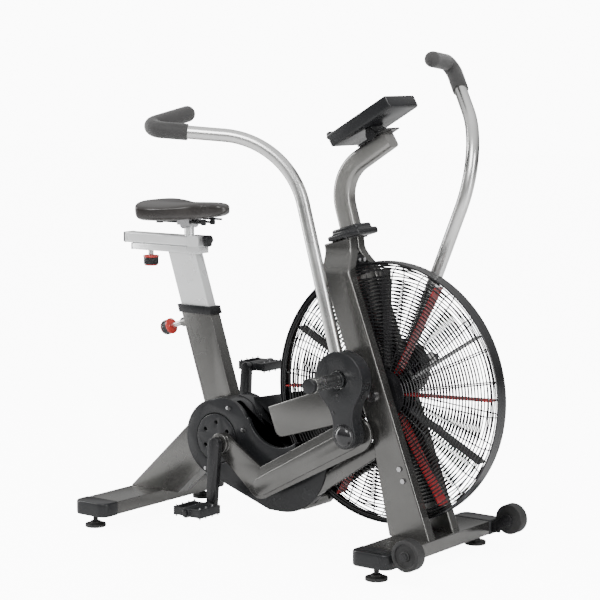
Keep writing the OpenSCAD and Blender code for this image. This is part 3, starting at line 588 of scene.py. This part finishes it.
def dome(place, radius, rise):
    """A flattened ball, half sunk in the face that it closes, in millimetres."""
    let_go()
    bpy.ops.mesh.primitive_uv_sphere_add(segments=40, ring_count=20, radius=1, location=place)
    piece = bpy.context.object
    piece.scale = (radius / 1000, rise / 1000, radius / 1000)
    close_up(piece, 60)
    return piece


tube_ends = [plate(at(-902, 0, 790.6), (5, 42, 29), 2), plate(at(-905, 0, 790), (5, 30, 20), 2)]
hand_over(join(tube_ends, "slider_end_cap"), "seat_slider", finishes["black_plastic"])
hand_over(plate(at(-870 - 2, 0, 765.8), (4, 45, 18.6), 1.5), "seat_rail", finishes["black_plastic"])

for side, word in ((-1, "right"), (1, "left")):
    cap = dome(at(LEVER_PIN[0], side * 160, LEVER_PIN[1]), 27, 15)
    collar = disc(at(LEVER_PIN[0], side * 160.5, LEVER_PIN[1]), (0, side, 0), 31, 4)
    screws = [disc(at(x, side * 160.4, z), (0, side, 0), 4.2, 1.6) for x, z in ((-50, 440), (-62, 392))]
    foot = [cap, collar] + screws
    if side == 1:
        foot = [turn_about(piece, at(PIVOT[0], 0, PIVOT[1]), ARM_SWING) for piece in foot]
    hand_over(join(foot, "cover_foot_" + word), "arm_cover_" + word, finishes["gloss_black"])
    ring = disc(at(PIVOT[0], side * 163, PIVOT[1]), (0, side, 0), 23, 6, edge=1.5)
    plug = disc(at(PIVOT[0], side * 279, PIVOT[1]), (0, side, 0), 19.6, 15, edge=3)
    hand_over(join([ring, plug], "peg_cap_" + word), "foot_pegs", finishes["black_plastic"])
    around = [(97 * math.cos(math.radians(a)), 97 * math.sin(math.radians(a))) for a in (66, 20, -48, -114)]
    rims = [disc(at(CRANK[0] + x, side * 59.6, CRANK[1] + z), (0, side, 0), 6.2, 2.4) for x, z in around]
    hand_over(join(rims, "cover_screws_" + word), "fasteners", finishes["gloss_black"])

# %% [markdown]
# ## Pedal pins
# Both faces of a platform pedal carry rows of short pins that hold the shoe.
# They could be part of the CAD body, but they only matter to the eye, so they are added here as turned studs.

# %% Studs on both faces of each pedal
for word in ("right", "left"):
    cad = frame["nodes"]["pedal_" + word]
    corners = [cad.matrix_world @ v.co for v in cad.data.vertices]
    low = Vector([min(c[i] for c in corners) for i in range(3)])
    high = Vector([max(c[i] for c in corners) for i in range(3)])
    middle = (low + high) / 2
    reach_x, half_y, half_z = (high[0] - low[0]) / 2 - 0.006, (high[1] - low[1]) / 2, (high[2] - low[2]) / 2
    studs = [disc(middle + Vector((sx * reach_x, share * half_y, sz * half_z)), (0, 0, 1), 2, 5, edge=0, vertices=10)
             for sx in (-1, 1) for sz in (-1, 1) for share in (-0.75, -0.25, 0.3, 0.8)]
    hand_over(join(studs, "pedal_studs_" + word), "pedal_" + word, finishes["steel"])

# %% [markdown]
# ## The saddle
# The saddle is foam under stretched vinyl: broad and raised at the rear, dished in the middle, slim at the nose.
# The vinyl is tight, so it shows no folds, and a smooth closed form suits it better than loose cloth.
# A sphere with its poles at nose and tail is shaped station by station, then subdivided once.

# %% Shape the saddle
saddle_back, saddle_len = -829, 292


def saddle_half_width(t):
    blend = (1 + math.cos(math.pi * min(1, max(0, (t - 0.22) / 0.5)))) / 2
    rear = max(0, 1 - (1 - min(1, t / 0.26)) ** 3.2) ** 0.42
    nose = max(0, 1 - max(0, (t - 0.84) / 0.16) ** 2.4) ** 0.5
    return (31 + 88 * blend) * rear * nose


def saddle_section(t, c, s):
    """Half width and height of a point on the rounded section at a share t of the length."""
    y = saddle_half_width(t) * math.copysign(abs(c) ** 0.5, c)
    end = max(0, 1 - abs(2 * t - 1) ** (14 if t < 0.5 else 8)) ** 0.42
    low = 845 + 20 * max(0, (t - 0.35) / 0.65) ** 1.4
    top = 905 - 3 * math.sin(math.pi * t) - 3 * t
    waist = math.exp(-((t - 0.42) / 0.24) ** 2)
    across = min(1, abs(y) / (saddle_half_width(t) + 0.01))
    middle = low + (top - low) * 0.45
    if s > 0:
        return y, middle + (top - middle) * s ** 0.5 * end - 15 * waist * across ** 2 * s - 3 * waist * (1 - across)
    return y, middle - (middle - low) * (-s) ** 0.5 * end


let_go()
# The sphere stands forward and up from the origin, which crowds its stations at the nose and its points on top.
bpy.ops.mesh.primitive_uv_sphere_add(segments=64, ring_count=56, radius=1, location=at(0, 0, FAN_Z),
                                     rotation=(0, math.pi / 2, 0))
saddle = bpy.context.object
saddle.name = "vinyl_saddle"
bpy.ops.object.transform_apply(location=True, rotation=True, scale=True)
for v in saddle.data.vertices:
    t = (1 + max(-1, min(1, v.co.x))) / 2
    ring = max(1e-6, math.hypot(v.co.y, v.co.z))
    y, z = saddle_section(t, v.co.y / ring, v.co.z / ring)
    v.co = at(saddle_back + saddle_len * t, y, z)
modify(saddle, "SUBSURF", levels=1, render_levels=1)
close_up(saddle, 70)
hand_over(saddle, "saddle_pad", finishes["vinyl"], ("saddle_pad",))

# %% [markdown]
# ## The floor, the light and the camera
# The machine stands on a plain pale floor under large soft lights, so that its round edges draw long highlights.

# %% Floor
let_go()
bpy.ops.mesh.primitive_plane_add(size=40, location=(0, 0, 0))
floor = bpy.context.object
floor.name = "studio_floor"
floor_paint = bpy.data.materials.new("pale_floor")
floor_paint.use_nodes = True
floor_tree = floor_paint.node_tree
floor_shader = floor_tree.nodes["Principled BSDF"]
floor_shader.inputs["Base Color"].default_value = (0.9, 0.9, 0.9, 1)
floor_shader.inputs["Roughness"].default_value = 0.7
floor_shader.inputs["Emission Color"].default_value = (1, 1, 1, 1)
floor_path = floor_tree.nodes.new("ShaderNodeLightPath")
floor_glow = floor_tree.nodes.new("ShaderNodeMath")
floor_glow.operation = "MULTIPLY"
floor_glow.inputs[1].default_value = 10
floor_tree.links.new(floor_path.outputs["Is Camera Ray"], floor_glow.inputs[0])
floor_tree.links.new(floor_glow.outputs["Value"], floor_shader.inputs["Emission Strength"])
floor.data.materials.append(floor_paint)

# %% [markdown]
# ## The room
# Metal shows what it reflects, so the room is bright above and dark at eye level, and this gives the tubes their edges.
# Behind the machine the view is plain white.
# Three soft panels stand where their reflections run down the tubes.

# %% Light and world
world = bpy.data.worlds.new("studio")
bpy.context.scene.world = world
world.use_nodes = True
sky = world.node_tree
room = sky.nodes["Background"]
room.inputs["Strength"].default_value = 0.8
where = sky.nodes.new("ShaderNodeTexCoord")
split = sky.nodes.new("ShaderNodeSeparateXYZ")
level = sky.nodes.new("ShaderNodeMapRange")
level.inputs["From Min"].default_value = -1
shades = sky.nodes.new("ShaderNodeValToRGB")
shades.color_ramp.elements[0].color = (0.5, 0.5, 0.5, 1)
shades.color_ramp.elements[1].color = (1.6, 1.6, 1.6, 1)
for place, tone in ((0.48, 0.10), (0.56, 0.14), (0.68, 0.75)):
    shades.color_ramp.elements.new(place).color = (tone, tone, tone, 1)
sky.links.new(where.outputs["Generated"], split.inputs["Vector"])
sky.links.new(split.outputs["Z"], level.inputs["Value"])
sky.links.new(level.outputs["Result"], shades.inputs["Fac"])
sky.links.new(shades.outputs["Color"], room.inputs["Color"])
backdrop = sky.nodes.new("ShaderNodeBackground")
backdrop.inputs["Color"].default_value = (1, 1, 1, 1)
backdrop.inputs["Strength"].default_value = 11
seen = sky.nodes.new("ShaderNodeLightPath")
choose = sky.nodes.new("ShaderNodeMixShader")
sky.links.new(seen.outputs["Is Camera Ray"], choose.inputs["Fac"])
sky.links.new(room.outputs["Background"], choose.inputs[1])
sky.links.new(backdrop.outputs["Background"], choose.inputs[2])
sky.links.new(choose.outputs["Shader"], sky.nodes["World Output"].inputs["Surface"])


def soft_light(name, place, aim, size, power):
    light = bpy.data.lights.new(name, "AREA")
    light.shape = "RECTANGLE"
    light.size, light.size_y = size
    light.energy = power
    lamp = bpy.data.objects.new(name, light)
    bpy.context.collection.objects.link(lamp)
    lamp.location = place
    lamp.rotation_mode = "QUATERNION"
    lamp.rotation_quaternion = (Vector(aim) - Vector(place)).to_track_quat("-Z", "Y")


soft_light("key", (1.2, -2.6, 3.0), (0, 0, 0.6), (1.6, 1.6), 90)
soft_light("side", (-3.0, -1.2, 1.4), (0, 0, 0.6), (0.7, 2.4), 70)
soft_light("front", (3.2, -0.4, 1.4), (0, 0, 0.6), (0.5, 2.4), 55)

# %% [markdown]
# ## The viewpoint
# A long lens far from the machine keeps its proportions true, from the front and right, a little above the middle.

# %% Camera
azimuth, elevation, distance = math.radians(37.0), math.radians(6.9), 5.2296
target = at(-289.8, 0, 651.2)
away = Vector((math.sin(azimuth) * math.cos(elevation), -math.cos(azimuth) * math.cos(elevation), math.sin(elevation)))
lens = bpy.data.cameras.new("view")
lens.lens, lens.sensor_width = 117.2, 36
camera = bpy.data.objects.new("view", lens)
bpy.context.collection.objects.link(camera)
camera.location = target + away * distance
camera.rotation_mode = "QUATERNION"
camera.rotation_quaternion = (-away).to_track_quat("-Z", "Y")
bpy.context.scene.camera = camera
